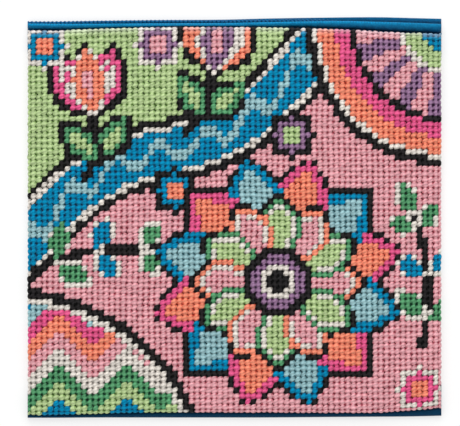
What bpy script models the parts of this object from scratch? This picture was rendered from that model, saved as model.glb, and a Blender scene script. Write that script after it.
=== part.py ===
"""Needlepoint canvas panel, with a closed zip along its top edge and a cloth strip along its lower edge.

The panel lies on its back. X runs along the zip, +Y runs from the cloth strip up to the zip, and +Z faces the
viewer. The origin is under the middle of the whole piece, on the surface that it lies on.
"""

import math
from collections import namedtuple

import bpy

MM = 0.001

# The canvas has 12 threads to the inch, so one tent stitch is about 2.1 mm each way.
STITCH = 0.0254 / 12
STITCH_COLUMNS = 74
PANEL_WIDTH = STITCH_COLUMNS * STITCH

# The worked cloth: canvas and wool together, with the bare canvas margin turned under it as a hem.
CLOTH_THICK = 2.6 * MM
HEM_THICK = 0.8 * MM
HEM_WIDTH = 12.0 * MM
HEM_STEP = 0.3 * MM
DOME = 2.2 * MM
SIDE_SAG = 1.2 * MM
RIPPLE = 0.25 * MM
RIPPLE_ACROSS = 46.0 * MM
RIPPLE_UP = 58.0 * MM
RIPPLE_FADE = 22.0 * MM

# The layers of thin cloth under the hem, and the gap that is kept between any two pieces.
GAP = 0.3 * MM
TAPE_THICK = 0.5 * MM
TAPE_TUCK = 9.0 * MM
HEM_FLOOR = 2 * (TAPE_THICK + GAP)

# The zip stands on edge: its front tape folds over the coil, and its rear tape lies flat below both.
LIP_LOW = 3.1 * MM
LIP_RISE = 0.9 * MM
COIL_LOW = TAPE_THICK + GAP
COIL_HIGH = LIP_LOW - GAP
COIL_DEEP = 1.3 * MM
COIL_BEVEL = 0.35 * MM
COIL_PITCH = 1.55 * MM
TOOTH_RISE = 0.25 * MM

# The strip along the lower edge is a fold of cloth, thin where it is tucked under the hem.
STRIP_TUCK_THICK = HEM_FLOOR - GAP
STRIP_FOLD_HIGH = 2.7 * MM

# The spacing of the lines that the meshes are made on, the cloth's rim lines as shares of its round edge's radius.
STRIP_SPACING = 5.5 * MM
CLOTH_SPACING = 11.0 * MM
RIM_LINES = (0.0, 0.14, 0.5, 1.0, 2.2)

# Where each piece's edge shows, in mm up from the lowest one, at several places in mm from the left end.
EdgeRow = namedtuple("EdgeRow", "x strip_low cloth_low cloth_high tape_high coil_high rear_high")
EDGES_MM = (
    EdgeRow(0.0, 0.0, 0.9, 146.7, 149.3, 150.1, 149.7),
    EdgeRow(12.0, 0.0, 0.9, 146.6, 149.2, 150.1, 149.7),
    EdgeRow(25.0, 0.1, 1.3, 147.2, 149.2, 150.3, 150.0),
    EdgeRow(50.0, 0.1, 1.9, 147.9, 149.4, 150.6, 150.3),
    EdgeRow(75.0, 0.1, 1.8, 147.9, 149.5, 150.6, 150.5),
    EdgeRow(90.0, 0.1, 1.8, 147.8, 149.8, 150.8, 150.9),
    EdgeRow(116.0, 0.3, 1.7, 147.2, 150.2, 150.8, 151.3),
    EdgeRow(133.0, 0.4, 1.8, 146.3, 150.0, 150.5, 151.4),
    EdgeRow(145.0, 0.5, 2.6, 145.7, 149.8, 150.2, 151.1),
    EdgeRow(157.0, 0.8, 3.6, 145.4, 149.5, 149.9, 150.8),
)
TOP_MM = max(row.rear_high for row in EDGES_MM)
MIDDLE_Y = TOP_MM / 2 * MM

Look = namedtuple("Look", "colour roughness")
LOOKS = {
    "needlepoint_wool": Look((0.72, 0.36, 0.40), 0.9),
    "zip_tape": Look((0.02, 0.17, 0.37), 0.75),
    "zip_coil": Look((0.01, 0.08, 0.22), 0.45),
    "strip_cloth": Look((0.004, 0.035, 0.08), 0.8),
}


def clear_scene():
    for found in list(bpy.data.objects):
        bpy.data.objects.remove(found, do_unlink=True)


def material(name):
    look = LOOKS[name]
    made = bpy.data.materials.new(name)
    made.use_nodes = True
    shader = made.node_tree.nodes["Principled BSDF"]
    shader.inputs["Base Color"].default_value = (*look.colour, 1.0)
    shader.inputs["Roughness"].default_value = look.roughness
    return made


def add_object(name, points, faces, look):
    mesh = bpy.data.meshes.new(name)
    mesh.from_pydata(points, [], faces)
    mesh.validate()
    mesh.materials.append(material(look))
    made = bpy.data.objects.new(name, mesh)
    bpy.context.scene.collection.objects.link(made)
    return made


def spread(length, spacing):
    """Evenly spaced places from one end of a length to the other, ends included."""
    steps = math.ceil(length / spacing)
    return [length * i / steps for i in range(steps + 1)]


def edge_y(column, x):
    """Height in Y of one edge at x metres from the left end, on a smooth curve through the rows of the table."""
    rows = EDGES_MM
    last = len(rows) - 2
    at = x / MM
    k = max((i for i in range(last + 1) if rows[i].x <= at), default=0)
    here, after = rows[k], rows[k + 1]
    before, beyond = rows[max(k - 1, 0)], rows[min(k + 2, last + 1)]
    low, high = getattr(here, column), getattr(after, column)
    span = after.x - here.x
    slope_in = (high - getattr(before, column)) / (after.x - before.x)
    slope_out = (getattr(beyond, column) - low) / (beyond.x - here.x)
    t = (at - here.x) / span
    rise = (
        low * (2 * t**3 - 3 * t**2 + 1)
        + high * (3 * t**2 - 2 * t**3)
        + span * slope_in * (t**3 - 2 * t**2 + t)
        + span * slope_out * (t**3 - t**2)
    )
    return rise * MM - MIDDLE_Y


def world_x(x):
    return x - PANEL_WIDTH / 2


def arc(y, z, reach, rise, start, end, steps=6):
    """Points along an ellipse round (y, z), between two angles in degrees from +Y towards +Z."""
    angles = [math.radians(start + (end - start) * i / steps) for i in range(steps + 1)]
    return [(y + reach * math.cos(angle), z + rise * math.sin(angle)) for angle in angles]


def add_strip(name, look, places, profile):
    """A solid along X. profile gives one (y, z) outline for each place, anticlockwise when seen from +X."""
    outlines = [profile(x) for x in places]
    count = len(outlines[0])
    points = [(world_x(x), y, z) for x, outline in zip(places, outlines) for y, z in outline]
    faces = []
    for i in range(len(places) - 1):
        for j in range(count):
            after = (j + 1) % count
            low, high = i * count, (i + 1) * count
            faces.append((low + j, low + after, high + after, high + j))
    faces.append(tuple(reversed(range(count))))
    faces.append(tuple((len(places) - 1) * count + j for j in range(count)))
    return add_object(name, points, faces, look)


def smooth_step(share):
    return share**2 * (3 - 2 * share)


def cloth_lift(x, y, low, high):
    """How far the hem stands above its floor: a low dome, sides that sag between the strips, slight ripples."""
    across = 2 * x / PANEL_WIDTH - 1
    up = 2 * (y - low) / (high - low) - 1
    dome = DOME * (1 - up**2) * (1 - across**2)
    free_span = (high - low) / 2 - TAPE_TUCK
    sag = SIDE_SAG * across**4 * smooth_step(max(0.0, min(y - low, high - y) - TAPE_TUCK) / free_span)
    edge = min(x, PANEL_WIDTH - x, y - low, high - y) - TAPE_TUCK
    wave = math.sin(2 * math.pi * x / RIPPLE_ACROSS) * math.sin(2 * math.pi * y / RIPPLE_UP)
    return dome - sag + RIPPLE * min(1.0, max(0.0, edge / RIPPLE_FADE)) * wave


def add_cloth():
    """The worked canvas as one solid: a domed sheet with round edges, and its hem turned under all round."""
    full = CLOTH_THICK + HEM_THICK
    round_edge = full / 2
    rims = [step * round_edge for step in RIM_LINES] + [HEM_WIDTH - HEM_STEP, HEM_WIDTH + HEM_STEP]
    inset = rims[-1]

    def lines(length):
        inner = spread(length - 2 * inset, CLOTH_SPACING)[1:-1]
        return rims + [inset + place for place in inner] + [length - rim for rim in reversed(rims)]

    across = lines(PANEL_WIDTH)
    usual_height = edge_y("cloth_high", PANEL_WIDTH / 2) - edge_y("cloth_low", PANEL_WIDTH / 2)
    up = lines(usual_height)
    columns, rows = len(across), len(up)

    def place(i, j):
        """x, y and both faces' heights at one crossing of the lines."""
        x = across[i]
        low, high = edge_y("cloth_low", x), edge_y("cloth_high", x)
        from_low, from_high = up[j], usual_height - up[j]
        if from_low <= inset:
            y = low + from_low
        elif from_high <= inset:
            y = high - from_high
        else:
            share = (from_low - inset) / (usual_height - 2 * inset)
            y = low + inset + share * (high - low - 2 * inset)
        edge = min(x, PANEL_WIDTH - x, from_low, from_high)
        floor = HEM_FLOOR + cloth_lift(x, y, low, high)
        bulge = math.sqrt(max(0.0, round_edge**2 - max(0.0, round_edge - edge) ** 2))
        top = floor + round_edge + bulge
        under = floor + HEM_THICK if edge >= HEM_WIDTH else floor + round_edge - bulge
        return x, y, top, under

    points, faces = [], []
    top_index, under_index = {}, {}
    for i in range(columns):
        for j in range(rows):
            x, y, top, under = place(i, j)
            top_index[i, j] = under_index[i, j] = len(points)
            points.append((world_x(x), y, top))
            if 0 < i < columns - 1 and 0 < j < rows - 1:
                under_index[i, j] = len(points)
                points.append((world_x(x), y, under))
    for i in range(columns - 1):
        for j in range(rows - 1):
            ring = ((i, j), (i + 1, j), (i + 1, j + 1), (i, j + 1))
            faces.append(tuple(top_index[key] for key in ring))
            faces.append(tuple(under_index[key] for key in reversed(ring)))
    cloth = add_object("needlepoint_cloth", points, faces, "needlepoint_wool")
    cloth.data.shade_smooth()
    return cloth


def front_tape_outline(x):
    """The tape leaves the back of the hem, rises past the cloth's edge and folds out over the coil."""
    cloth, outer = edge_y("cloth_high", x), edge_y("tape_high", x)
    near, tail = cloth + GAP, cloth - TAPE_TUCK
    web = near + TAPE_THICK
    low = TAPE_THICK + GAP
    half = (outer - near) / 2
    return [
        (tail, low),
        (web, low),
        (web, LIP_LOW),
        *arc(near + half, LIP_LOW, half, LIP_RISE, 0, 180),
        (near, low + TAPE_THICK),
        (tail, low + TAPE_THICK),
    ]


def rear_tape_outline(x):
    """The other tape lies flat, and its round far edge shows past the coil at the right."""
    tail, outer = edge_y("cloth_high", x) - TAPE_TUCK, edge_y("rear_high", x)
    half = TAPE_THICK / 2
    return [(tail, 0.0), *arc(outer - half, half, half, half, -90, 90), (tail, TAPE_THICK)]


def coil_outline(x):
    """The closed coil: every second place along it is the dip between two teeth."""
    dip = TOOTH_RISE if round(2 * x / COIL_PITCH) % 2 else 0.0
    outer = edge_y("coil_high", x) - dip
    inner = edge_y("coil_high", x) - COIL_DEEP
    low, high = COIL_LOW + dip, COIL_HIGH - dip
    return [
        (inner, low),
        (outer - COIL_BEVEL, low),
        (outer, low + COIL_BEVEL),
        (outer, high - COIL_BEVEL),
        (outer - COIL_BEVEL, high),
        (inner, high),
    ]


def lower_strip_outline(x):
    """A fold of cloth whose round edge shows below the needlepoint, and whose thin part lies under the hem."""
    outer, cloth = edge_y("strip_low", x), edge_y("cloth_low", x)
    near, tail = cloth - GAP, cloth + TAPE_TUCK
    half = STRIP_FOLD_HIGH / 2
    return [
        (tail, 0.0),
        (tail, STRIP_TUCK_THICK),
        (near, STRIP_TUCK_THICK),
        *arc(near, half, near - outer, half, 90, 270),
    ]


def coil_places():
    """Two places for each tooth: its crest and the dip after it."""
    half = COIL_PITCH / 2
    return [i * half for i in range(int(PANEL_WIDTH / half) + 1)]


def main():
    clear_scene()
    places = spread(PANEL_WIDTH, STRIP_SPACING)
    add_cloth()
    add_strip("zip_tape_front", "zip_tape", places, front_tape_outline)
    add_strip("zip_tape_rear", "zip_tape", places, rear_tape_outline)
    add_strip("zip_coil", "zip_coil", coil_places(), coil_outline)
    add_strip("lower_strip", "strip_cloth", places, lower_strip_outline)


main()
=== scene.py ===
"""The needlepoint canvas panel as it looks: wool stitches on canvas, a closed zip and a folded strip."""

import math
from collections import namedtuple

import bpy
import numpy as np
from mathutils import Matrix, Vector
from mathutils.bvhtree import BVHTree


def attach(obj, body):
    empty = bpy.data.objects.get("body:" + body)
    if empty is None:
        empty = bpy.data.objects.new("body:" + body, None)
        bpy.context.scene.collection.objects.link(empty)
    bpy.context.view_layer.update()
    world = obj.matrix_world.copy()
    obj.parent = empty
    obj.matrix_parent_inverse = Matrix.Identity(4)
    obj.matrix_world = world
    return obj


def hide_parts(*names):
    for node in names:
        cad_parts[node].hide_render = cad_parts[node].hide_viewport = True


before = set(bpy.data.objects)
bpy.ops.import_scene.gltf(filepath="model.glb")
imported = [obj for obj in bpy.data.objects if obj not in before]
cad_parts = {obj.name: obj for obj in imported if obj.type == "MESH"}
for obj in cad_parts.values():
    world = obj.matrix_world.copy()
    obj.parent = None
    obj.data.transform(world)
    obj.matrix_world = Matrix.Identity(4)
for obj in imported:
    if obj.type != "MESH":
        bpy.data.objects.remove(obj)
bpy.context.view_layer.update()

MM = 0.001
rng = np.random.default_rng(12)

# The chart, counted with the stitches that run down over the cloth's round edges.
COLUMNS, ROWS = 75, 70
YARNS = ("pink", "magenta", "orange", "lime", "green", "pale_blue", "blue", "purple", "black", "cream")

# The cloth's round edge, and how its rows and columns stray from an even grid. WANDER is in cells.
RIM = 1.7 * MM
QUARTER = RIM * math.pi / 2
STRETCH = 0.018
SETTLE_ROWS = 7.0
WANDER = 0.16

# The waves in which they wander: a slow pace and its start, and a fast pace and its slant.
COLUMN_WAVES = (14, 1, 31, 9)
ROW_WAVES = (12, 2, 27, 11)
FAST_SHARE = 0.6

# How the face's heights are read from the CAD cloth: at how many places, and how often they are smoothed.
HEIGHT_GRID = (80, 76)
SMOOTHINGS = 6
SLOPE_STEP = 0.5 * MM

# A CAD strip's cross-sections lie further apart than SECTION_GAP. One with under WHOLE_SECTION of the usual
# number of points is only a part.
SECTION_GAP = 0.05 * MM
WHOLE_SECTION = 0.4

# One kind of stitch. It runs from start to end, in cells from its own lower left corner. outline holds its
# section's points in degrees, crest is how far it rises out of the cloth's face, way is 1 on the face and -1
# on the back, and bend is in cells.
Stitch = namedtuple("Stitch", "start end rings outline half_wide half_thick crest way bend")

# An outline's points are closest together on the stitch's outer side, the one that shows.
FACE_SIDES = (-90, -25, 15, 52, 90, 128, 165, 205)
BACK_SIDES = (-90, -20, 40, 90, 140, 200)
FACE_STITCH = Stitch((0, 0), (1, 1), 8, FACE_SIDES, 1.05 * MM, 0.66 * MM, 0.0, 1, 0.025)
BACK_STITCH = Stitch((1, 1), (-1, 0), 3, BACK_SIDES, 0.55 * MM, 0.42 * MM, -2.5 * MM, -1, 0.0)

# The black outlines stand out: how much wider their stitches are, and how much higher they lie.
BLACK_WIDER = 1.05
BLACK_RAISED = 0.1 * MM
BLACK_STITCH = FACE_STITCH._replace(half_wide=FACE_STITCH.half_wide * BLACK_WIDER, crest=BLACK_RAISED)

# How a stitch's ends go down into the cloth: how deep, how late, and how much narrower and thinner they get.
# REACH is how far it runs to each side of its middle, as a share of its run. A SQUARENESS of 2 is round.
DIVE = 1.3 * MM
DIVE_POWER = 4
END_NARROWING = 0.84
END_THINNING = 0.5
REACH = 0.43
SQUARENESS = 2.3

# How much the stitches differ: along and in width as shares, bent and aside in cells, and in height.
STRAY_ALONG = 0.02
STRAY_BEND = 0.02
STRAY_ASIDE = 0.035
STRAY_WIDTH = 0.09
STRAY_HEIGHT = 0.07 * MM

# The painted shade in the hollow round each hole of the canvas, in cells: where it starts, and where it is
# darkest. Each hole has its own strength of painted shade, also those up to HOLE_MARGIN lines beyond the
# chart.
HOLE_EDGE = 0.31
HOLE_HEART = 0.13
HOLE_MARGIN = 2
HOLE_SHADES = rng.uniform(0.45, 1.3, (COLUMNS + 1 + 2 * HOLE_MARGIN, ROWS + 1 + 2 * HOLE_MARGIN))

# From here up, in rows below the top edge, the stitches get a painted highlight, paler towards the top edge.
HIGHLIGHT_ROWS = 1.5

# The canvas: how far its two faces lie below the stitches' crests, on the face and in the hem.
CANVAS_DEPTH = (1.25 * MM, 1.65 * MM)
HEM_DEPTH = (0.12 * MM, 0.62 * MM)
HEM_WIDTH = 12.0 * MM
HEM_LINES = 6


def node_edges(name):
    """x of each whole cross-section of a CAD node, with the lowest and highest y there."""
    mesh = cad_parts[name].data
    points = np.empty(len(mesh.vertices) * 3, np.float32)
    mesh.vertices.foreach_get("co", points)
    points = points.reshape(-1, 3).astype(float)
    points = points[np.argsort(points[:, 0])]
    breaks = np.flatnonzero(np.diff(points[:, 0]) > SECTION_GAP) + 1
    sections = np.split(points, breaks)
    usual = np.median([len(part) for part in sections])
    whole = [part for part in sections if len(part) > WHOLE_SECTION * usual]
    return np.array([(part[0, 0], part[:, 1].min(), part[:, 1].max()) for part in whole]).T


def section_line(name, places):
    """Lowest and highest y of a CAD strip at these places along X."""
    x, low, high = node_edges(name)
    return np.interp(places, x, low), np.interp(places, x, high)


EDGE_X, EDGE_LOW, EDGE_HIGH = node_edges("needlepoint_cloth")
LEFT, RIGHT = EDGE_X[0], EDGE_X[-1]


def cloth_edge(x, values):
    """y of the cloth's lower or upper edge at x."""
    return np.interp(x, EDGE_X, values)


def face_heights(across, up):
    """Heights of the cloth's face inside its round edges, as a grid of shares of its width and height."""
    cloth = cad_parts["needlepoint_cloth"].data
    tree = BVHTree.FromPolygons([v.co for v in cloth.vertices], [p.vertices for p in cloth.polygons])
    heights = np.empty((across, up))
    for a, x in enumerate(np.linspace(LEFT + RIM, RIGHT - RIM, across)):
        low, high = cloth_edge(x, EDGE_LOW) + RIM, cloth_edge(x, EDGE_HIGH) - RIM
        for b, y in enumerate(np.linspace(low, high, up)):
            hit = tree.ray_cast(Vector((x, y, 1.0)), Vector((0, 0, -1)))[0]
            heights[a, b] = hit.z
    for _ in range(SMOOTHINGS):
        padded = np.pad(heights, 1, mode="edge")
        heights = (padded[:-2, 1:-1] + padded[2:, 1:-1] + padded[1:-1, :-2] + padded[1:-1, 2:]) / 4
    return heights


HEIGHTS = face_heights(*HEIGHT_GRID)


def face_height(x, y):
    """Height of the cloth's face, between the places where it was read."""
    low, high = cloth_edge(x, EDGE_LOW) + RIM, cloth_edge(x, EDGE_HIGH) - RIM
    shares = (x - LEFT - RIM) / (RIGHT - LEFT - 2 * RIM), (y - low) / (high - low)
    found = []
    for share, count in zip(shares, HEIGHTS.shape):
        place = np.clip(share, 0, 1) * (count - 1)
        first = np.minimum(place.astype(int), count - 2)
        found.append((first, place - first))
    (a, s), (b, t) = found
    near = HEIGHTS[a, b] * (1 - t) + HEIGHTS[a, b + 1] * t
    far = HEIGHTS[a + 1, b] * (1 - t) + HEIGHTS[a + 1, b + 1] * t
    return near * (1 - s) + far * s


def roll(distance, length):
    """Rolls a flat length over the cloth's round edges: place along it, turn of its face, and the way out."""
    first = distance < length / 2
    inward = np.where(first, distance, length - distance)
    turn = np.clip((QUARTER - inward) / RIM, 0, math.pi)
    place = RIM * (1 - np.sin(turn)) + np.maximum(0, np.abs(inward) - QUARTER)
    width = length - 2 * (QUARTER - RIM)
    return np.where(first, place, width - place), turn, np.where(first, -1.0, 1.0)


ROLLED_EXTRA = QUARTER - RIM
ACROSS_LENGTH = RIGHT - LEFT + 2 * ROLLED_EXTRA
MEAN_LOW, MEAN_HIGH = EDGE_LOW.mean(), EDGE_HIGH.mean()
MEAN_LENGTH = MEAN_HIGH - MEAN_LOW + 2 * ROLLED_EXTRA
CELL = ACROSS_LENGTH / COLUMNS


def wander(waves, along, aside):
    """A slow wave, and a weaker fast one that slants."""
    slow, start, fast, slant = waves
    return np.sin(slow * along + start) + FAST_SHARE * np.sin(fast * along + slant * aside)


def on_cloth(column, row, lift):
    """World points that lie lift metres out of the cloth's face, at places counted in columns and rows."""
    share, high_share = column / COLUMNS, row / ROWS
    inner = np.sin(np.pi * np.clip(share, 0, 1)) * np.sin(np.pi * np.clip(high_share, 0, 1))
    share = share + WANDER / COLUMNS * inner * wander(COLUMN_WAVES, high_share, share)
    row = row + WANDER * inner * wander(ROW_WAVES, share, high_share)
    across = ACROSS_LENGTH * (share + STRETCH * share * (1 - share))
    x, turn_x, out_x = roll(across, ACROSS_LENGTH)
    x = x + LEFT
    low, high = cloth_edge(x, EDGE_LOW), cloth_edge(x, EDGE_HIGH)
    line = MEAN_LOW + row * MEAN_LENGTH / ROWS
    line = line + (low - MEAN_LOW) * np.exp(-np.maximum(row, 0) / SETTLE_ROWS)
    line = line + (high - MEAN_HIGH) * np.exp(-np.maximum(ROWS - row, 0) / SETTLE_ROWS)
    y, turn_y, out_y = roll(line - low, high - low + 2 * ROLLED_EXTRA)
    y = y + low
    level = np.cos(turn_x) * np.cos(turn_y)
    step = SLOPE_STEP
    slope_x = (face_height(x + step, y) - face_height(x - step, y)) / (2 * step)
    slope_y = (face_height(x, y + step) - face_height(x, y - step)) / (2 * step)
    out_x = out_x * np.sin(turn_x) - slope_x * level
    out_y = out_y * np.sin(turn_y) - slope_y * level
    out = np.stack([out_x, out_y, level], axis=-1)
    out = out / np.maximum(np.linalg.norm(out, axis=-1, keepdims=True), 1e-9)
    base = np.stack([x, y, face_height(x, y) - RIM * (1 - level)], axis=-1)
    return base + out * np.broadcast_to(lift, base.shape[:-1])[..., None]


# The chart's motifs. Each depth is how far inside a shape a stitch lies, in stitches.
AT_COLUMN, AT_ROW = np.meshgrid(np.arange(COLUMNS) + 0.5, np.arange(ROWS) + 0.5, indexing="ij")

# The band that climbs across the chart: the row that its middle starts from, its slope and its swing.
BAND_START = 31
BAND_SLOPE = 0.66
BAND_SWING = 3.6
BAND_PACE = 8.0
BAND_HALF = 5.6

# The zigzag in the band, and the flames on the hill.
TOOTH_COLUMNS = 8
TOOTH_HALF = 2.0
FLAME_COLUMNS = 12
FLAME_SLOPE = 0.85
FLAME_ROWS = 3
FLAMES = ("blue", "lime", "green", "cream", "pink", "orange", "magenta", "pale_blue")

# Where the hill's and the sun's middles lie, and how wide a ray of the sun is, in degrees.
HILL = (-3, -13, 36)
SUN = (COLUMNS, ROWS, 25)
RAY = 11.25

# A tulip's stem, how far down its blades start, and the turns and leaf shapes of its blades and petals.
STEM_LENGTH, STEM_HALF, STEM_CURVE = 13, 0.75, 0.02
BLADES_DOWN = 9
BLADE_TURN, BLADE = 40, (0, 9, 2.3)
SIDE_TURN, SIDE_PETAL = 27, (-1, 11.5, 3.6)
MIDDLE_PETAL = (-1, 11, 3.0)
Tulip = namedtuple("Tulip", "x y lean outer inner")
TULIPS = (
    Tulip(12, 55, 8, "magenta", "orange"),
    Tulip(33.5, 62.5, -8, "orange", "purple"),
)

Sprig = namedtuple("Sprig", "start bend end")
SPRIGS = (
    Sprig((2, 26), (10, 31), (24, 30)),
    Sprig((71, 13), (74, 24), (69, 37)),
)
SPRIG_HALF = 0.72
SPRIG_PAIRS = 3
SPRIG_TURN = 55
SPRIG_LEAF = 8.0
SPRIG_YARNS = ("green", "blue")

# A star's square and its heart, as shares of its size.
STAR_SQUARE = 0.72
STAR_HEART = 0.4
Star = namedtuple("Star", "x y size edge middle heart")
STARS = (
    Star(26.5, 40.5, 4.0, "black", "blue", "orange"),
    Star(47.5, 50.5, 4.0, "black", "purple", "lime"),
    Star(3.5, 66.5, 3.6, "cream", "blue", "orange"),
    Star(23.5, 66.5, 3.6, "cream", "purple", "pink"),
    Star(70.5, 4.5, 4.0, "cream", "magenta", "orange"),
)

# A ring of pointed petals. Each petal's yarns run from its edge to its heart, and they repeat round the ring.
Ring = namedtuple("Ring", "petals turn start end half belly yarns")
ROSETTE_AT = (45, 24)
ROSETTE = (
    Ring(12, 15, 4, 22.5, 5.0, 1.35, (("magenta", "magenta", "orange"), ("blue", "blue", "pale_blue"))),
    Ring(12, 0, 2, 15.5, 3.9, 1.25, (("orange", "cream", "pink"), ("green", "cream", "lime"))),
)


def disc(x, y, radius):
    return radius - np.hypot(AT_COLUMN - x, AT_ROW - y)


def leaf(x, y, angle, start, end, half, belly=1.0):
    """A pointed leaf on a ray from (x, y), widest past its middle where belly is over 1."""
    turn = np.radians(angle)
    along = (AT_COLUMN - x) * np.cos(turn) + (AT_ROW - y) * np.sin(turn)
    side = np.abs((AT_ROW - y) * np.cos(turn) - (AT_COLUMN - x) * np.sin(turn))
    share = np.clip((along - start) / (end - start), 0, 1)
    past = np.maximum(0, np.maximum(start - along, along - end))
    return half * np.sin(np.pi * share**belly) - side - past


def paint(chart, depth, *layers):
    """Works each layer's yarn where the depth is over that layer's least."""
    for least, yarn in layers:
        chart[depth > least] = YARNS.index(yarn)


def paint_cycle(chart, where, step, yarns):
    """Works yarns in turn, one for each whole number of steps."""
    table = np.array([YARNS.index(name) for name in yarns])
    chart[where] = table[np.floor(step).astype(int) % len(yarns)][where]


def paint_band(chart):
    """A plain ground above a band that climbs in a curve, with a zigzag along its middle."""
    middle = BAND_START + BAND_SLOPE * AT_COLUMN + BAND_SWING * np.sin(AT_COLUMN / BAND_PACE)
    slope = BAND_SLOPE + BAND_SWING / BAND_PACE * np.cos(AT_COLUMN / BAND_PACE)
    from_middle = (AT_ROW - middle) / np.sqrt(1 + slope**2)
    paint(chart, from_middle, (0, "lime"))
    band = BAND_HALF - np.abs(from_middle)
    paint(chart, band, (-0.2, "black"), (0.9, "cream"), (1.9, "blue"))
    tooth = TOOTH_HALF * (4 * np.abs((AT_COLUMN / TOOTH_COLUMNS) % 1 - 0.5) - 1)
    paint(chart, np.minimum(0.95 - np.abs(from_middle - tooth), band - 2), (0, "pale_blue"))


def paint_hill(chart):
    """A round hill of flame stitch."""
    hill = disc(*HILL)
    paint(chart, hill, (0, "black"), (1.6, "cream"))
    flame = AT_ROW + np.abs(AT_COLUMN % FLAME_COLUMNS - FLAME_COLUMNS / 2) * FLAME_SLOPE
    paint_cycle(chart, hill > 2.7, flame / FLAME_ROWS, FLAMES)


def paint_sun(chart):
    """A quarter sun in the upper right corner, with rays between its rims."""
    sun = disc(*SUN)
    paint(chart, sun, (0, "black"), (1.3, "cream"), (2.3, "orange"), (5.2, "magenta"), (8.0, "black"))
    ray = np.degrees(np.arctan2(ROWS - AT_ROW, COLUMNS - AT_COLUMN)) / RAY
    paint_cycle(chart, (sun > 9.1) & (sun < 17), ray, ("pink", "purple"))
    paint(chart, sun, (17, "cream"), (18.0, "lime"), (21.0, "blue"))


def paint_tulip(chart, tulip):
    """A tulip of three petals on a leaning stem with two leaves."""
    x, y, angle = tulip.x, tulip.y, 90 + tulip.lean
    cosine, sine = math.cos(math.radians(angle)), math.sin(math.radians(angle))
    along = (AT_COLUMN - x) * cosine + (AT_ROW - y) * sine
    side = (AT_ROW - y) * cosine - (AT_COLUMN - x) * sine
    stem = STEM_HALF - np.abs(side - STEM_CURVE * along**2)
    stem[(along > 0) | (along < -STEM_LENGTH)] = -1
    paint(chart, stem, (0, "black"))
    for turn in (-BLADE_TURN, BLADE_TURN):
        blade = leaf(x - BLADES_DOWN * cosine, y - BLADES_DOWN * sine, angle + turn, *BLADE)
        paint(chart, blade, (-0.9, "black"), (0.0, "green"), (1.2, "lime"))
    sides = np.maximum(*[leaf(x, y, angle + turn, *SIDE_PETAL) for turn in (SIDE_TURN, -SIDE_TURN)])
    middle = leaf(x, y, angle, *MIDDLE_PETAL)
    paint(chart, np.maximum(sides, middle), (-1.0, "black"))
    paint(chart, sides, (0.0, tulip.outer), (1.6, "cream"), (2.4, tulip.outer))
    paint(chart, middle, (-0.6, "cream"), (0.2, tulip.inner), (1.9, "pink"))


def paint_sprig(chart, sprig):
    """A curved stem with pairs of leaves, which get smaller along it, and one leaf at its tip."""
    t = np.linspace(0, 1, 60)[:, None]
    start, bend, end = [np.array(point) for point in sprig]
    stem = (1 - t) ** 2 * start + 2 * t * (1 - t) * bend + t**2 * end
    away = np.hypot(AT_COLUMN[..., None] - stem[:, 0], AT_ROW[..., None] - stem[:, 1]).min(axis=-1)
    paint(chart, SPRIG_HALF - away, (0, "black"))
    headings = np.degrees(np.arctan2(*np.gradient(stem, axis=0).T[::-1]))
    for k in range(SPRIG_PAIRS):
        share = (k + 0.6) / SPRIG_PAIRS
        at = int(share * (len(stem) - 1))
        long, half = SPRIG_LEAF * (1 - 0.35 * share), 2 - 0.5 * share
        for turn in (SPRIG_TURN, -SPRIG_TURN):
            blade = leaf(*stem[at], headings[at] + turn, 0.5, long, half)
            paint(chart, blade, (-0.45, "cream"), (0.15, SPRIG_YARNS[k % len(SPRIG_YARNS)]))
    tip = leaf(*sprig.end, headings[-1], -1, 0.7 * SPRIG_LEAF, 1.7)
    paint(chart, tip, (-0.45, "cream"), (0.15, SPRIG_YARNS[0]))


def paint_star(chart, star):
    """An eight-point star: a square and a lozenge laid over each other."""
    across, up = np.abs(AT_COLUMN - star.x), np.abs(AT_ROW - star.y)
    depth = np.maximum(STAR_SQUARE * star.size - np.maximum(across, up), star.size - across - up)
    paint(chart, depth, (-1.0, star.edge), (0.0, star.middle))
    paint(chart, disc(star.x, star.y, STAR_HEART * star.size), (0, star.heart))


def paint_rosette(chart):
    """Two rings of pointed petals round a heart of rings."""
    for ring in ROSETTE:
        shape = (ring.start, ring.end, ring.half, ring.belly)
        turns = [ring.turn + 360 * k / ring.petals for k in range(ring.petals)]
        depths = [leaf(*ROSETTE_AT, turn, *shape) for turn in turns]
        paint(chart, np.max(depths, axis=0), (-1.0, "black"))
        for k, depth in enumerate(depths):
            paint(chart, depth, *zip((0.0, 1.0, 1.9), ring.yarns[k % len(ring.yarns)]))
    paint(chart, disc(*ROSETTE_AT, 6.2), (0, "black"), (1.3, "purple"), (3.2, "cream"), (4.3, "black"))


def make_chart():
    """The yarn of each stitch, as a number in YARNS. The ground is pink."""
    chart = np.zeros((COLUMNS, ROWS), int)
    paint_band(chart)
    paint_hill(chart)
    paint_sun(chart)
    for tulip in TULIPS:
        paint_tulip(chart, tulip)
    for sprig in SPRIGS:
        paint_sprig(chart, sprig)
    for star in STARS:
        paint_star(chart, star)
    paint_rosette(chart)
    return chart


CHART = make_chart()


def mesh_object(name, points, quads, look):
    """A smooth object from arrays of points and of four-sided faces."""
    mesh = bpy.data.meshes.new(name)
    mesh.vertices.add(len(points))
    mesh.vertices.foreach_set("co", np.ascontiguousarray(points, np.float32).ravel())
    mesh.loops.add(4 * len(quads))
    mesh.loops.foreach_set("vertex_index", np.ascontiguousarray(quads, np.int32).ravel())
    mesh.polygons.add(len(quads))
    mesh.polygons.foreach_set("loop_start", np.arange(0, 4 * len(quads), 4, dtype=np.int32))
    mesh.update(calc_edges=True)
    mesh.polygons.foreach_set("use_smooth", np.full(len(quads), True))
    mesh.materials.append(look)
    made = bpy.data.objects.new(name, mesh)
    bpy.context.scene.collection.objects.link(made)
    return made


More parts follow.
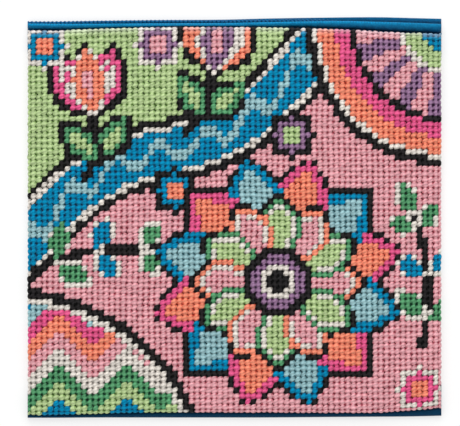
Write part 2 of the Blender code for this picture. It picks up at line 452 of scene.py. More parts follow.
def set_values(thing, name, values):
    layer = thing.data.attributes.new(name, "FLOAT", "POINT")
    layer.data.foreach_set("value", np.ascontiguousarray(values, np.float32).ravel())


def set_map(thing, name, corners):
    layer = thing.data.uv_layers.new(name=name)
    layer.uv.foreach_set("vector", np.ascontiguousarray(corners, np.float32).ravel())


def tube_faces(rings, sides):
    """Faces of a tube with closed ends, for an even number of sides, and each face corner's ring and side."""
    faces, places = [], []
    for k in range(rings - 1):
        for s in range(sides):
            corners = ((k, s), (k, s + 1), (k + 1, s + 1), (k + 1, s))
            faces.append([ring * sides + side % sides for ring, side in corners])
            places.append(corners)
    for ring, turn in ((0, -1), (rings - 1, 1)):
        for s in range(1, sides - 1, 2):
            corners = [(ring, side) for side in (0, s, s + 1, s + 2)][::turn]
            faces.append([ring * sides + side % sides for _, side in corners])
            places.append(corners)
    return np.array(faces), np.array(places, float)


def stitch_middles(stitch, count):
    """Many stitches' middle lines in cells, their heights, half widths, half thicknesses and bends."""
    along, bent, aside, width, height = rng.normal(0, 1, (count, 5, 1)).transpose(1, 0, 2)
    from_middle = np.cos(np.linspace(np.pi, 0, stitch.rings))[None]
    drop = np.abs(from_middle) ** DIVE_POWER
    travel = 0.5 + REACH * from_middle + STRAY_ALONG * along
    sway = (stitch.bend + STRAY_BEND * bent) * np.sin(2 * np.pi * travel)
    start, end = np.array(stitch.start, float), np.array(stitch.end, float)
    run = end - start
    side_way = np.array([run[1], -run[0]]) / np.hypot(*run)
    centre = start + travel[..., None] * run + (sway + STRAY_ASIDE * aside)[..., None] * side_way
    half_wide = stitch.half_wide * (1 + STRAY_WIDTH * width) * (1 - END_NARROWING * drop)
    half_thick = stitch.half_thick * (1 - END_THINNING * drop)
    crest = stitch.crest * np.ones((count, 1)) + stitch.way * STRAY_HEIGHT * height
    middle = crest - stitch.way * (stitch.half_thick + DIVE * drop)
    return centre, middle, half_wide, half_thick, bent


def stitch_points(stitch, cells):
    """Column, row and lift of each point of many stitches, the lengths along them, and each one's bend."""
    centre, middle, half_wide, half_thick, bent = stitch_middles(stitch, len(cells))
    ahead = np.gradient(centre, axis=1) * CELL
    climb = np.gradient(middle, axis=1)
    flat = np.linalg.norm(ahead, axis=-1)
    slant = np.hypot(flat, climb)
    ahead = ahead / flat[..., None]
    across = np.stack([ahead[..., 1], -ahead[..., 0]], axis=-1)
    turn = np.radians(stitch.outline)
    side, out = [np.sign(f) * np.abs(f) ** (2 / SQUARENESS) for f in (np.cos(turn), np.sin(turn))]
    sideways = half_wide[..., None] * side
    outward = half_thick[..., None] * out * stitch.way
    back = outward * (climb / slant)[..., None]
    offset = across[:, :, None] * sideways[..., None] - ahead[:, :, None] * back[..., None]
    plan = centre[:, :, None] + offset / CELL
    lift = middle[..., None] + outward * (flat / slant)[..., None]
    column = plan[..., 0] + cells[:, 0, None, None]
    row = plan[..., 1] + cells[:, 1, None, None]
    along = np.concatenate([[0], np.cumsum(slant.mean(axis=0)[1:])])
    return column, row, lift, along, bent


def hollow_shade_share(column, row, bent):
    """How much painted shade each point gets in the hollow round a hole of the canvas: from 0 at its edge to
    1.
    """
    near_column, near_row = np.round(column), np.round(row)
    from_hole = np.hypot(column - near_column, row - near_row) + STRAY_BEND * bent[..., None]
    share = np.clip((HOLE_EDGE - from_hole) / (HOLE_EDGE - HOLE_HEART), 0, 1)
    tones = HOLE_SHADES[near_column.astype(int) + HOLE_MARGIN, near_row.astype(int) + HOLE_MARGIN]
    return np.minimum(share * tones, 1)


# Many stitches as arrays: points, faces, the map of their face corners, and three values for each point:
# its stitch's tone, its painted shade in the hollows, and its painted highlight on the top row.
Wool = namedtuple("Wool", "points quads corner_map shade sunk top_row")


def stitch_wool(stitch, cells):
    """Many stitches of one kind, one for each cell."""
    count, sides = len(cells), len(stitch.outline)
    column, row, lift, along, bent = stitch_points(stitch, cells)
    points = on_cloth(column, row, lift).reshape(-1, 3)
    faces, places = tube_faces(stitch.rings, sides)
    if stitch.way < 0:
        faces, places = faces[:, ::-1], places[:, ::-1]
    quads = (faces[None] + (np.arange(count) * stitch.rings * sides)[:, None, None]).reshape(-1, 4)
    first_side = stitch.outline[0]
    turns = (np.append(stitch.outline, 360.0 + first_side) - first_side) / 360
    lengths = (along / MM)[places[..., 0].astype(int)]
    corner_map = np.stack([lengths, turns[places[..., 1].astype(int)]], axis=-1)
    corner_map = np.broadcast_to(corner_map, (count, *corner_map.shape)).reshape(-1, 2)
    shade = np.broadcast_to(rng.random((count, 1, 1)), lift.shape)
    # Painted highlight: each point's share of it, rising over the top rows.
    top_row = np.clip(row - ROWS + HIGHLIGHT_ROWS, 0, 1)
    # Painted shade in the hollows round the canvas's holes.
    sunk = hollow_shade_share(column, row, bent)
    return Wool(points, quads, corner_map, shade.ravel(), sunk.ravel(), top_row.ravel())


def add_yarn(number, look):
    """All stitches of one yarn, on the face and on the back, as one object."""
    yarn = YARNS[number]
    columns, rows = np.meshgrid(np.arange(-1, COLUMNS + 1), np.arange(-1, ROWS + 1), indexing="ij")
    worked = CHART[np.clip(columns, 0, COLUMNS - 1), np.clip(rows, 0, ROWS - 1)] == number
    cells = np.stack([columns[worked], rows[worked]], axis=-1)
    hem = int(HEM_WIDTH / CELL) + 1
    inside = (cells >= hem).all(axis=1) & (cells < np.array([COLUMNS, ROWS]) - hem).all(axis=1)
    face = stitch_wool(BLACK_STITCH if yarn == "black" else FACE_STITCH, cells)
    back = stitch_wool(BACK_STITCH, cells[inside])
    back = back._replace(quads=back.quads + len(face.points))
    wool = Wool(*[np.concatenate(pair) for pair in zip(face, back)])
    made = mesh_object("stitches_" + yarn, wool.points, wool.quads, look)
    set_map(made, "yarn", wool.corner_map)
    set_values(made, "shade", wool.shade)
    set_values(made, "sunk", wool.sunk)
    set_values(made, "top_row", wool.top_row)
    return made


# Where the hem's lines lie, in cells out from the chart's edge.
HEM_PLACES = np.linspace(0, (QUARTER + HEM_WIDTH - RIM) / CELL, HEM_LINES + 1)[1:]


def on_canvas(i, j):
    """Whether the canvas's lines i and j cross on it: its corners are cut away for the mitres."""
    return 0 <= i <= COLUMNS or 0 <= j <= ROWS


def canvas_place(i, j, face_depth, hem_depth):
    """Column, row and lift where two lines cross. Beyond the chart they run under it, to the mitres."""
    column, row, under = float(i), float(j), 0.0
    beyond = max(-i, i - COLUMNS, -j, j - ROWS)
    if beyond > 0:
        out = HEM_PLACES[beyond - 1]
        mitre = min(out, 1) * QUARTER / CELL + max(0.0, out - 1)
        if i < 0 or i > COLUMNS:
            column = -out if i < 0 else COLUMNS + out
            row = mitre + j * (ROWS - 2 * mitre) / ROWS
        else:
            row = -out if j < 0 else ROWS + out
            column = mitre + i * (COLUMNS - 2 * mitre) / COLUMNS
        under = min(1.0, out * CELL / QUARTER)
    under = under**2 * (3 - 2 * under)
    return column, row, -(face_depth + (hem_depth - face_depth) * under)


def canvas_mesh():
    """The canvas's places, its faces, and the print of each: 0 where bare, or a yarn's number plus 1."""
    span_i = range(-HEM_LINES, COLUMNS + HEM_LINES + 1)
    span_j = range(-HEM_LINES, ROWS + HEM_LINES + 1)
    crossings = [(i, j) for i in span_i for j in span_j if on_canvas(i, j)]
    points, index = [], {}
    for layer, depths in enumerate(zip(CANVAS_DEPTH, HEM_DEPTH)):
        for i, j in crossings:
            index[layer, i, j] = len(points)
            points.append(canvas_place(i, j, *depths))
    quads, prints, edges = [], [], []
    for i in span_i[:-1]:
        for j in span_j[:-1]:
            ring = ((i, j), (i + 1, j), (i + 1, j + 1), (i, j + 1))
            if not all(on_canvas(*corner) for corner in ring):
                continue
            quads.append([index[0, *corner] for corner in ring])
            quads.append([index[1, *corner] for corner in ring[::-1]])
            on_face = -1 <= i <= COLUMNS and -1 <= j <= ROWS
            print_and_shade = CHART[min(max(i, 0), COLUMNS - 1), min(max(j, 0), ROWS - 1)] + 1 if on_face else 0
            prints += [print_and_shade, 0]
            edges += [(ring[k], ring[(k + 1) % 4]) for k in range(4)]
    all_edges = set(edges)
    for start, end in edges:
        if (end, start) not in all_edges:
            quads.append([index[0, *end], index[0, *start], index[1, *start], index[1, *end]])
            prints.append(0)
    return np.array(points), quads, prints


def add_canvas(look):
    """The canvas under the stitches, with a print in their deep tones that is partly print and partly painted
    shade between the stitches, and with its bare margin turned under as a hem.
    """
    places, quads, prints = canvas_mesh()
    made = mesh_object("canvas", on_cloth(*places.T), quads, look)
    set_map(made, "threads", places[np.array(quads).ravel(), :2])
    # The print: each yarn's deep tone made darker still, partly print and partly painted shade between the
    # stitches.
    colours = [CANVAS_TONE, *[PRINT_SHADE_SHARE * np.array(YARN_TONES[name].deep) for name in YARNS]]
    layer = made.data.color_attributes.new("print_and_shade", "FLOAT_COLOR", "CORNER")
    tones = np.repeat(np.array([(*colours[k], 1.0) for k in prints]), 4, axis=0)
    layer.data.foreach_set("color", tones.astype(np.float32).ravel())
    return made


def srgb(red, green, blue):
    """A colour given as screen values of 0 to 255, in the linear values that shaders use."""
    found = []
    for value in (red / 255, green / 255, blue / 255):
        found.append(value / 12.92 if value <= 0.04045 else ((value + 0.055) / 1.055) ** 2.4)
    return tuple(found)


class Tone:
    """A yarn's colour on its crest, a deeper one painted as shade in the hollows between stitches and used
    for the canvas's print, and how far that painted shade spreads.
    """

    def __init__(self, crest, deep, spread=1.0):
        self.crest = srgb(*crest)
        self.deep = srgb(*deep)
        self.spread = spread


YARN_TONES = {
    "pink": Tone((226, 166, 173), (164, 34, 62)),
    "magenta": Tone((225, 91, 140), (142, 0, 64)),
    "orange": Tone((240, 143, 115), (186, 44, 18)),
    "lime": Tone((180, 202, 146), (88, 126, 44)),
    "green": Tone((88, 154, 108), (0, 66, 38), 1.9),
    "pale_blue": Tone((152, 190, 195), (34, 96, 108)),
    "blue": Tone((0, 134, 177), (0, 34, 78)),
    "purple": Tone((149, 115, 148), (52, 10, 56), 1.8),
    "black": Tone((38, 36, 37), (0, 0, 0), 3.2),
    "cream": Tone((224, 217, 208), (105, 96, 91)),
}

# The bare canvas, the painted shade in its holes, and how much of a yarn's deep tone goes into the print
# under its stitches, a print made darker than the yarn as painted shade.
CANVAS_TONE = srgb(222, 212, 190)
HOLE_SHADE_TONE = (0.05, 0.045, 0.04)
PRINT_SHADE_SHARE = 0.6

# A painted highlight on the top row, where its fuzz faces the light: its tone, how pale it makes yarns over a
# set brightness, that brightness, and less on others.
HIGHLIGHT_TONE = srgb(250, 244, 246)
TOP_ROW_HIGHLIGHT = 0.35
FULL_HIGHLIGHT_TONE = 0.6

# A mix node's sockets for colours: its two inputs, and its output.
MIX_INPUTS, MIX_OUTPUT = (6, 7), 2


class Material:
    """A Principled material and short calls that add nodes to it."""

    def __init__(self, name, **values):
        self.made = bpy.data.materials.new(name)
        self.made.use_nodes = True
        self.tree = self.made.node_tree
        self.shader = self.tree.nodes["Principled BSDF"]
        for socket, value in values.items():
            self.shader.inputs[socket.replace("_", " ")].default_value = value

    def add(self, kind, inputs=(), output=0, **settings):
        node = self.tree.nodes.new(kind)
        for key, value in settings.items():
            setattr(node, key, value)
        for key, value in dict(inputs).items():
            self.plug(node.inputs[key], value)
        return node.outputs[output]

    def plug(self, socket, value):
        if isinstance(value, bpy.types.NodeSocket):
            self.tree.links.new(value, socket)
        else:
            socket.default_value = value

    def math(self, operation, *values):
        return self.add("ShaderNodeMath", enumerate(values), operation=operation)

    def times(self, first, second):
        return self.math("MULTIPLY", first, second)

    def times_plus(self, first, second, more):
        return self.math("MULTIPLY_ADD", first, second, more)

    def value(self, name, output="Fac"):
        return self.add("ShaderNodeAttribute", attribute_name=name, output=output)

    def map(self, name):
        found = self.add("ShaderNodeUVMap", uv_map=name)
        split = self.add("ShaderNodeSeparateXYZ", {"Vector": found}).node
        return split.outputs["X"], split.outputs["Y"]

    def vector(self, x, y, z=0.0):
        return self.add("ShaderNodeCombineXYZ", {"X": x, "Y": y, "Z": z})

    def noise(self, vector, scale, detail=2.0):
        return self.add("ShaderNodeTexNoise", {"Vector": vector, "Scale": scale, "Detail": detail})

    def wave(self, phase):
        """A sine of a phase that is counted in turns."""
        return self.math("SINE", self.times(phase, 2 * math.pi))

    def mix(self, share, first, second):
        """A mix of two colours, each one a socket or three linear values."""
        node = self.tree.nodes.new("ShaderNodeMix")
        node.data_type = "RGBA"
        self.plug(node.inputs[0], share)
        for key, colour in zip(MIX_INPUTS, (first, second)):
            self.plug(node.inputs[key], colour if isinstance(colour, bpy.types.NodeSocket) else (*colour, 1))
        return node.outputs[MIX_OUTPUT]

    def scaled(self, colour, factor):
        return self.add("ShaderNodeVectorMath", {0: colour, "Scale": factor}, operation="SCALE")

    def finish(self, colour, height, distance, strength):
        self.plug(self.shader.inputs["Base Color"], colour)
        bump = self.add("ShaderNodeBump", {"Height": height, "Distance": distance, "Strength": strength})
        self.plug(self.shader.inputs["Normal"], bump)
        return self.made


# A yarn's plies: how many lie round it, how many turn past per mm, and how far a stitch's can be shifted.
PLIES = 4.0
PLY_TWIST = 0.62
PLY_SHIFT = 7.0

# How fast the tone of the fibres changes along a yarn per mm, round it, and from stitch to stitch.
FIBRE_SCALE = (1.4, 34.0, 60.0)

# What the lightness of a stitch, of a ply and of a fibre starts from, and how much more it can get. A
# stitch's and a fibre's differ at random; a ply's is painted shade in the grooves between plies and painted
# light on their ridges.
STITCH_LIGHT = (0.9, 0.2)
PLY_LIGHT = (0.76, 0.36)
FIBRE_LIGHT = (0.55, 0.9)

# How high the plies and the fibres stand out against each other, and both in all.
PLY_HEIGHT = 0.7
FIBRE_HEIGHT = 0.6
WOOL_RELIEF = 0.16 * MM


def wool_look(yarn):
    """Matt wool, with the lie of its plies and its fibres, and stitches that differ a little in tone. Its
    colour holds painted shade in the hollows and the plies' grooves, and a painted highlight on the top row.
    """
    look = Material(
        "wool_" + yarn, Roughness=0.9, Sheen_Weight=0.08, Sheen_Roughness=0.5, Specular_IOR_Level=0.05
    )
    tone = YARN_TONES[yarn]
    along, turn = look.map("yarn")
    shade, sunk = look.value("shade"), look.value("sunk")
    twist = look.times_plus(turn, PLIES, look.times(along, PLY_TWIST))
    ply = look.math("ABSOLUTE", look.wave(look.times(look.times_plus(shade, PLY_SHIFT, twist), 0.5)))
    streak = [look.times(place, scale) for place, scale in zip((along, turn, shade), FIBRE_SCALE)]
    fibre = look.noise(look.vector(*streak), scale=1.0, detail=3.0)
    # Painted shade: the hollows round the canvas's holes take the yarn's deep tone.
    body = look.mix(look.times(sunk, tone.spread), tone.crest, tone.deep)
    # Painted highlight: the top row is mixed towards a pale tone.
    highlight_share = TOP_ROW_HIGHLIGHT * min(1.0, max(tone.crest) / FULL_HIGHLIGHT_TONE)
    body = look.mix(look.times(look.value("top_row"), highlight_share), body, HIGHLIGHT_TONE)
    least, more = STITCH_LIGHT
    light = look.times_plus(shade, more, least)
    # The ply's share is painted shade in its grooves; the fibre's is random tone.
    for share, (least, more) in ((ply, PLY_LIGHT), (fibre, FIBRE_LIGHT)):
        light = look.times(light, look.times_plus(share, more, least))
    height = look.times_plus(ply, PLY_HEIGHT, look.times(fibre, FIBRE_HEIGHT))
    return look.finish(look.scaled(body, light), height, WOOL_RELIEF, strength=0.9)


# The canvas's threads: how steeply they fall off, how much higher one is where it passes over another, below
# what height there is a hole, how strong the painted shade in it is, and their lightness as for the wool.
THREAD_FALL = 2.6
THREAD_OVER = 0.35
HOLE_HEIGHT = 0.12
HOLE_SHADE_SHARE = 0.75
THREAD_LIGHT = (0.75, 0.4)


def canvas_look():
    """Plain-woven canvas: the threads pass over and under each other round square holes, with painted shade
    in the holes.
    """
    look = Material("canvas", Roughness=0.85, Sheen_Weight=0.15, Specular_IOR_Level=0.25)
    across, up = look.map("threads")
    from_line = [look.math("SUBTRACT", look.math("FRACT", place), 0.5) for place in (across, up)]
    fall = [look.times(look.math("ABSOLUTE", place), THREAD_FALL) for place in from_line]
    warp, weft = [look.math("SUBTRACT", 1.0, share) for share in fall]
    over = look.math("PINGPONG", look.math("ADD", look.math("FLOOR", across), look.math("FLOOR", up)), 1.0)
    height = look.math("MAXIMUM", look.times_plus(over, THREAD_OVER, warp), weft)
    hole = look.math("LESS_THAN", look.math("MAXIMUM", warp, weft), HOLE_HEIGHT)
    fuzz = look.noise(look.vector(across, up), scale=9.0, detail=3.0)
    least, more = THREAD_LIGHT
    thread = look.scaled(look.value("print_and_shade", "Color"), look.times_plus(fuzz, more, least))
    # Painted shade: the holes are mixed towards a near-black tone.
    colour = look.mix(look.times(hole, HOLE_SHADE_SHARE), thread, HOLE_SHADE_TONE)
    return look.finish(colour, height, 0.35 * MM, strength=0.9)


# Woven cloth: its picks against its ribs, its streaks, its weave's height, and what adds to its deep tone,
# painted shade among it.
PICK_SLANT, PICK_SPACING = 0.5, 1.3
STREAK_SCALE = 0.35
WEAVE_HEIGHT = 0.5
WEAVE_SHARE, FUZZ_SHARE, STREAK_SHARE = 0.22, 0.6, 0.6
SHADED_SHARE, BASE_SHARE = 0.8, -0.2

# The painted highlight dashes on the front tape's rim: how wide they are, how often they repeat in mm, and
# how bright.
RIM_WIDTH = 0.7 * MM
RIM_DASH = 1.05
HIGHLIGHT_MEAN, HIGHLIGHT_SWING = 0.6, 0.5


def woven_look(name, tone, deep, roughness, rib):
    """Close-woven cloth, a little uneven in tone along its length, with painted shade and painted highlight
    dashes from its values. rib is its ribs' spacing in mm.
    """
    look = Material(
        name, Roughness=roughness, Sheen_Weight=0.03, Sheen_Roughness=0.4, Specular_IOR_Level=0.12
    )
    along, round_place = look.map("cloth")
    rows = look.wave(look.math("DIVIDE", along, rib))
    slant = look.math("ADD", look.times(along, PICK_SLANT), round_place)
    picks = look.wave(look.math("DIVIDE", slant, rib * PICK_SPACING))
    weave = look.times(rows, picks)
    fuzz = look.noise(look.vector(along, round_place), scale=2.2, detail=4.0)
    streaks = look.noise(look.vector(look.times(along, STREAK_SCALE), round_place), scale=1.3, detail=3.0)
    height = look.math("ADD", look.times(weave, WEAVE_HEIGHT), fuzz)
    share = look.times_plus(weave, WEAVE_SHARE, look.times(fuzz, FUZZ_SHARE))
    # Painted highlight: bright dashes along the front tape's rim.
    highlight_dashes = look.times_plus(look.wave(look.math("DIVIDE", along, RIM_DASH)), HIGHLIGHT_SWING, HIGHLIGHT_MEAN)
    # Painted shade from the strip's values, less the painted highlight dashes on the rim.
    shaded = look.math("SUBTRACT", look.value("shaded"), look.times(look.value("rim"), highlight_dashes))
    share = look.math("ADD", look.times_plus(shaded, SHADED_SHARE, BASE_SHARE), share)
    share = look.times_plus(streaks, STREAK_SHARE, share)
    return look.finish(look.mix(share, srgb(*tone), srgb(*deep)), height, 0.08 * MM, strength=0.8)


def coil_look():
    """Satin nylon wire."""
    look = Material("zip_coil", Roughness=0.45, Specular_IOR_Level=0.18)
    fuzz = look.noise(look.add("ShaderNodeTexCoord", output="Object"), scale=900.0)
    colour = look.mix(fuzz, srgb(0, 116, 172), srgb(0, 62, 108))
    return look.finish(colour, fuzz, 0.02 * MM, strength=0.5)


# A tape's painted shade: how strong, how far in from its upper edge it starts, and over what width it grows.
PaintedShade = namedtuple("PaintedShade", "strength start width")
NO_PAINTED_SHADE = PaintedShade(0.0, 0.0, 1.0)

# The layers at the edges: the gap between two pieces, how thick they are, and how far they go under the hem.
GAP = 0.3 * MM
TAPE_THICK = 0.5 * MM
TAPE_TUCK = 9.0 * MM
STRIP_THICK = 0.6 * MM

# The places along X of a strip's outlines.
END_GAP = 0.12 * MM
STATIONS = np.linspace(LEFT + END_GAP, RIGHT - END_GAP, 158)

# From here to the right, the front tape's rim draws back and loses its painted highlight dashes.
TAPE_END = 46 * MM

# How far the rim lies in from the CAD tape's, in mm: everywhere, and what the shown coil and the end add.
RIM_IN, RIM_IN_AT_COIL, RIM_IN_AT_END = 0.2, 0.05, 0.42

# The front tape's roll: shares of its width, with heights in mm. Where it is narrow, its near side lies
# higher and leans to the cloth.
TAPE_ROLL = ((0.0, 2.0), (0.1, 2.5), (0.28, 3.05), (0.5, 3.45), (0.7, 3.65))
TAPE_LEAN = 0.22 * MM
TAPE_LIFT = 1.8
NARROW_WIDTH = 1.4 * MM
NARROW_FADE = 1.2 * MM

# The radius of the bend in which the front tape rises past the cloth, and the form of its outer lip.
TAPE_BEND = 0.35 * MM
LIP_REACH = 0.3 * MM
LIP_HEIGHT = 3.35 * MM
# Over what width the front tape's painted shade grows, darker towards the cloth.
FRONT_PAINTED_SHADE_WIDTH = 3.0 * MM

# The waves in a strip's height: each one's height, length and start.
FRONT_WAVES = ((0.05 * MM, 7.3 * MM, 0), (0.05 * MM, 3.1 * MM, 1))
STRIP_WAVES = ((0.06 * MM, 5.7 * MM, 0), (0.04 * MM, 2.3 * MM, 0))

# The rear tape's painted shade, darker towards the front tape's roll, and how far its rim's last two points
# lie from the CAD tape's.
REAR_PAINTED_SHADE = PaintedShade(1.1, 0.6 * MM, 0.6 * MM)
REAR_RIM = (-0.3 * MM, 0.05 * MM)

# The zip's coils: half of a coil's depth, its wire's radius, how square its turns are, and how far it is
# drawn in where the tape covers it.
COIL_PITCH = 1.55 * MM
COIL_REACH = 0.65 * MM
WIRE = 0.34 * MM
COIL_BLUNT = 0.55
COIL_DRAWN_IN = 1.1 * MM
TURN_STEPS, WIRE_SIDES = 14, 6

# The coil starts to show where it is this far past the front tape, and shows in full COIL_FADE further.
COIL_HIDDEN = 0.3 * MM
COIL_FADE = 0.25 * MM

# One coil: the height of its middle, the turn that it starts at, the way it winds, and how far in it lies.
Coil = namedtuple("Coil", "z phase way inward")
COILS = (Coil(2.13 * MM, 0.0, 1, 0.0), Coil(1.47 * MM, 0.5, -1, 0.15 * MM))

# The lower strip's fold: its gap to the cloth, the height of its middle and half its height. Then its upper
# layer comes back down under the hem, in mm past the fold's middle and up.
FOLD_GAP = 0.4 * MM
FOLD_MIDDLE = 1.35 * MM
FOLD_RISE = 1.05 * MM
FOLD_RETURN = ((0.45, 1.9), (0.8, 1.1), (1.4, 1.0))


def arc(y, z, reach, rise, start, end, steps):
    turn = np.radians(np.linspace(start, end, steps + 1))
    return [(y + reach * math.cos(a), z + rise * math.sin(a)) for a in turn]


def outline_of(path, half):
    """The outline of a cloth of this half thickness, whose middle runs along a path."""
    path = np.array(path)
    ahead = np.gradient(path, axis=0)
    ahead /= np.linalg.norm(ahead, axis=1, keepdims=True)
    side = np.stack([-ahead[:, 1], ahead[:, 0]], axis=1) * half
    return np.concatenate([path - side, (path + side)[::-1]])


def add_swept(name, outlines, look, dark=NO_PAINTED_SHADE, rim=0.0):
    """A closed strip through one outline for each station, with painted shade further in from its upper edge.
    rim is its edge's share of painted highlight dashes.
    """
    outlines = np.array(outlines)
    stations, count = outlines.shape[:2]
    x = np.broadcast_to(STATIONS[:, None], (stations, count))
    points = np.concatenate([x[..., None], outlines], axis=-1).reshape(-1, 3)
    index = np.arange(stations * count).reshape(stations, count)
    after = np.roll(index, -1, axis=1)
    sides = np.stack([index[:-1], after[:-1], after[1:], index[1:]], axis=-1).reshape(-1, 4)
    caps = []
    for k in range(count // 2 - 1):
        ring = [k, k + 1, count - 2 - k, count - 1 - k]
        caps.append(ring[::-1])
        caps.append([(stations - 1) * count + corner for corner in ring])
    made = mesh_object(name, points, np.concatenate([sides, np.array(caps)]), look)
    steps = np.linalg.norm(np.diff(outlines[stations // 2], axis=0), axis=1)
    length = np.concatenate([[0], np.cumsum(steps)]) / MM
    round_place = np.broadcast_to(np.append(length, length[-1] + 1), (stations, count + 1))
    along = np.broadcast_to(STATIONS[:, None] / MM, (stations, count + 1))
    grid = np.stack([along, round_place], axis=-1)
    corners = np.stack([grid[:-1, :-1], grid[:-1, 1:], grid[1:, 1:], grid[1:, :-1]], axis=2).reshape(-1, 2)
    cap_corners = points[np.array(caps).ravel()][:, 1:] / MM
    set_map(made, "cloth", np.concatenate([corners, cap_corners]))
    inward = outlines[..., 0].max(axis=1, keepdims=True) - outlines[..., 0]
    strength, rim = np.resize(dark.strength, stations)[:, None], np.resize(rim, stations)[:, None]
    # Painted shade, and painted highlight dashes along the rim.
    set_values(made, "shaded", strength * np.clip((inward - dark.start) / dark.width, 0, 1))
    set_values(made, "rim", rim * np.clip(1 - inward / RIM_WIDTH, 0, 1))
    return made


def coil_shown(places):
    """How far the coil shows past the front tape: 1 where it does, 0 where the tape covers it."""
    past = 0
    shifts = (-0.5, -0.25, 0, 0.25, 0.5)
    for shift in shifts:
        near = places + shift * COIL_PITCH
        ahead = section_line("zip_coil", near)[1] - section_line("zip_tape_front", near)[1]
        past = past + ahead / len(shifts)
    return np.clip((past - COIL_HIDDEN) / COIL_FADE, 0, 1)


def ripple(x, waves):
    return sum(height * math.sin(x / length + start) for height, length, start in waves)


def front_tape_path(edge, top, lifted, uneven):
    """The middle of the front tape's section, from under the hem to its lip."""
    low = TAPE_THICK + GAP + TAPE_THICK / 2
    near, far = edge + GAP + TAPE_THICK / 2, top - TAPE_THICK / 2
    path = [(edge - TAPE_TUCK, low), (edge - 5 * MM, low), (near - 0.6 * MM, low)]
    path += arc(near - TAPE_BEND, low + TAPE_BEND, TAPE_BEND, TAPE_BEND, start=-60, end=0, steps=3)
    for share, z in TAPE_ROLL:
        nearer = lifted * (1 - share) ** 2
        place = near + share * (far - near) - TAPE_LEAN * nearer
        path.append((place, (z + TAPE_LIFT * nearer) * MM + uneven))
    return path + arc(far - LIP_REACH, LIP_HEIGHT + uneven, LIP_REACH, TAPE_BEND, start=90, end=-40, steps=5)


def add_front_tape(look):
    """The zip's front tape: under the hem, up past the cloth's edge and over the coil in a soft roll."""
    outer = section_line("zip_tape_front", STATIONS)[1]
    cloth = cloth_edge(STATIONS, EDGE_HIGH)
    tape_end = np.clip((STATIONS - TAPE_END) / (RIGHT - TAPE_END), 0, 1)
    rim_in = (RIM_IN + RIM_IN_AT_COIL * coil_shown(STATIONS) + RIM_IN_AT_END * tape_end) * MM
    narrow = np.clip(1 - (outer - cloth - NARROW_WIDTH) / NARROW_FADE, 0, 1)
    outlines = []
    for x, edge, top, lifted in zip(STATIONS, cloth, outer - rim_in, narrow):
        path = front_tape_path(edge, top, lifted, ripple(x, FRONT_WAVES))
        outlines.append(outline_of(path, TAPE_THICK / 2))
    # Painted shade, darker towards the cloth, and none where the tape is narrow.
    dark = PaintedShade(1.0 - narrow, RIM_WIDTH, FRONT_PAINTED_SHADE_WIDTH)
    return add_swept("zip_tape_front_weave", outlines, look, dark, 1.0 - tape_end)


def add_rear_tape(look):
    """The zip's rear tape, flat under the other layers."""
    outer = section_line("zip_tape_rear", STATIONS)[1]
    cloth = cloth_edge(STATIONS, EDGE_HIGH)
    half = TAPE_THICK / 2
    short, past = REAR_RIM
    outlines = []
    for edge, top in zip(cloth, outer):
        flat = [(y, half) for y in np.linspace(edge - TAPE_TUCK, top + short, 6)]
        outlines.append(outline_of([*flat, (top + past, half)], half))
    return add_swept("zip_tape_rear_weave", outlines, look, REAR_PAINTED_SHADE)


def wire_points(line):
    """Rings of points round a wire's middle line."""
    ahead = np.gradient(line, axis=0)
    ahead /= np.linalg.norm(ahead, axis=1, keepdims=True)
    level = np.cross(ahead, np.array([1.0, 0, 0]))
    level /= np.linalg.norm(level, axis=1, keepdims=True)
    other = np.cross(ahead, level)
    turn = np.linspace(0, 2 * np.pi, WIRE_SIDES, endpoint=False)[None, :, None]
    ring = level[:, None] * np.cos(turn) + other[:, None] * np.sin(turn)
    return (line[:, None] + WIRE * ring).reshape(-1, 3)


def add_coils(look):
    """Two coils of nylon wire that mesh with each other, one on each tape."""
    turns = (RIGHT - LEFT - 2 * WIRE) / COIL_PITCH
    t = np.linspace(0, turns, int(turns * TURN_STEPS))
    x = LEFT + WIRE + t * COIL_PITCH
    outer = section_line("zip_coil", x)[1] - COIL_DRAWN_IN * (1 - coil_shown(x))
    reach = COIL_REACH - WIRE
    points, quads = [], []
    for coil in COILS:
        angle = 2 * np.pi * (t + coil.phase)
        out, up = [np.sign(f) * np.abs(f) ** COIL_BLUNT for f in (np.cos(angle), np.sin(angle))]
        middle = outer - coil.inward - COIL_REACH
        line = np.stack([x, middle + reach * out, coil.z + coil.way * reach * up], axis=-1)
        faces, _ = tube_faces(len(line), WIRE_SIDES)
        quads.append(faces + sum(len(p) for p in points))
        points.append(wire_points(line))
    return mesh_object("zip_coil_wire", np.concatenate(points), np.concatenate(quads), look)


def add_lower_strip(look):
    """The folded strip along the lower edge: round at its fold, and flat where it lies under the hem."""
    outer = section_line("lower_strip", STATIONS)[0]
    cloth = cloth_edge(STATIONS, EDGE_LOW)
    half = STRIP_THICK / 2
    outlines = []
    for x, edge, low in zip(STATIONS, cloth, outer):
        near, tail = edge - FOLD_GAP, edge + TAPE_TUCK
        uneven = ripple(x, STRIP_WAVES)
        path = [(tail, half), (edge + 4 * MM, half), (near + 1 * MM, half)]
        path += arc(near, FOLD_MIDDLE + uneven, near - low - half, FOLD_RISE + uneven, 270, 90, steps=12)
        path += [(near + past * MM, z * MM) for past, z in FOLD_RETURN]
        path += [(tail, FOLD_RETURN[-1][1] * MM)]
        outlines.append(outline_of(path, half))
    return add_swept("lower_strip_cloth", outlines, look)


# The floor's own light makes it nearly white, with soft shadows left.
FLOOR_SIZE = 6.0
FLOOR_TONE = (0.4, 0.4, 0.4, 1)
FLOOR_GLOW = 0.6
WORLD_GLOW = 0.6


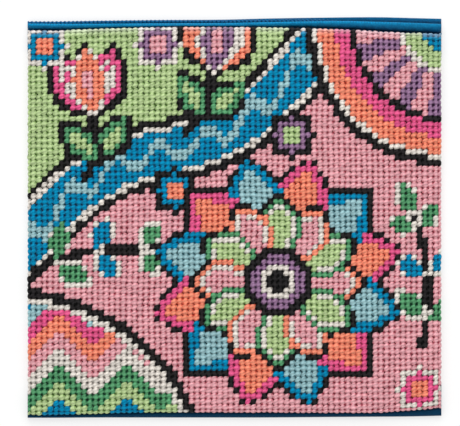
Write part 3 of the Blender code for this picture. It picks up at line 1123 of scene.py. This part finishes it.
def add_floor():
    bpy.ops.mesh.primitive_plane_add(size=FLOOR_SIZE, location=(0, 0, 0))
    floor = bpy.context.object
    floor.name = "floor"
    look = Material("floor", Roughness=1.0, Specular_IOR_Level=0.0, Base_Color=FLOOR_TONE)
    look.plug(look.shader.inputs["Emission Color"], (1, 1, 1, 1))
    look.plug(look.shader.inputs["Emission Strength"], FLOOR_GLOW)
    floor.data.materials.append(look.made)
    return floor


def add_light(name, azimuth, elevation, distance, size, power):
    """A square soft light that looks at the origin. Azimuth 0 is over +Y, and 90 over +X."""
    a, e = math.radians(azimuth), math.radians(elevation)
    away = Vector((math.sin(a) * math.cos(e), math.cos(a) * math.cos(e), math.sin(e)))
    data = bpy.data.lights.new(name, "AREA")
    data.size = size
    data.energy = power
    made = bpy.data.objects.new(name, data)
    made.location = away * distance
    made.rotation_euler = away.to_track_quat("Z", "Y").to_euler()
    bpy.context.scene.collection.objects.link(made)


# The photograph's frame, and where the piece lies in it.
FRAME_WIDTH_PX, FRAME_HEIGHT_PX = 460, 426
PIECE_LEFT_PX, PIECE_RIGHT_PX = 27.4, 441.6
PIECE_MIDDLE_Y_PX = 217.55
CAMERA_DISTANCE = 5.0


def add_camera():
    """A camera straight above the piece, so far off that it shows no perspective."""
    pixel = (RIGHT - LEFT) / (PIECE_RIGHT_PX - PIECE_LEFT_PX)
    data = bpy.data.cameras.new("camera")
    data.sensor_width = 36.0
    data.lens = data.sensor_width * CAMERA_DISTANCE / (FRAME_WIDTH_PX * pixel)
    data.clip_end = 20.0
    made = bpy.data.objects.new("camera", data)
    right = (FRAME_WIDTH_PX / 2 - (PIECE_LEFT_PX + PIECE_RIGHT_PX) / 2) * pixel
    up = (PIECE_MIDDLE_Y_PX - FRAME_HEIGHT_PX / 2) * pixel
    made.location = (right, up, CAMERA_DISTANCE)
    bpy.context.scene.collection.objects.link(made)
    bpy.context.scene.camera = made


def add_world():
    world = bpy.data.worlds.new("studio")
    world.use_nodes = True
    background = world.node_tree.nodes["Background"]
    background.inputs["Color"].default_value = (1, 1, 1, 1)
    background.inputs["Strength"].default_value = WORLD_GLOW
    bpy.context.scene.world = world
    bpy.context.scene.view_settings.view_transform = "Standard"


add_camera()

for number, yarn in enumerate(YARNS):
    piece = add_yarn(number, wool_look(yarn))
    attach(piece, "root")

canvas = add_canvas(canvas_look())
front_tape = add_front_tape(woven_look("zip_tape", (0, 144, 200), (0, 58, 96), roughness=0.5, rib=0.32))
rear_tape = add_rear_tape(woven_look("zip_tape_below", (0, 122, 180), (0, 42, 76), roughness=0.5, rib=0.32))
coils = add_coils(coil_look())
strip = add_lower_strip(woven_look("strip_cloth", (0, 62, 96), (0, 38, 62), roughness=0.75, rib=0.28))

for piece, node, slot in (
    (canvas, "needlepoint_cloth", "canvas"),
    (front_tape, "zip_tape_front", "zip_tape"),
    (rear_tape, "zip_tape_rear", "zip_tape"),
    (coils, "zip_coil", "zip_coil"),
    (strip, "lower_strip", "strip_cloth"),
):
    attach(piece, "root")
    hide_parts(node)

add_world()
add_light("key", azimuth=0, elevation=46, distance=1.1, size=1.0, power=7.6)
add_light("fill", azimuth=200, elevation=60, distance=1.2, size=0.9, power=2.2)
add_floor()

bpy.context.view_layer.update()
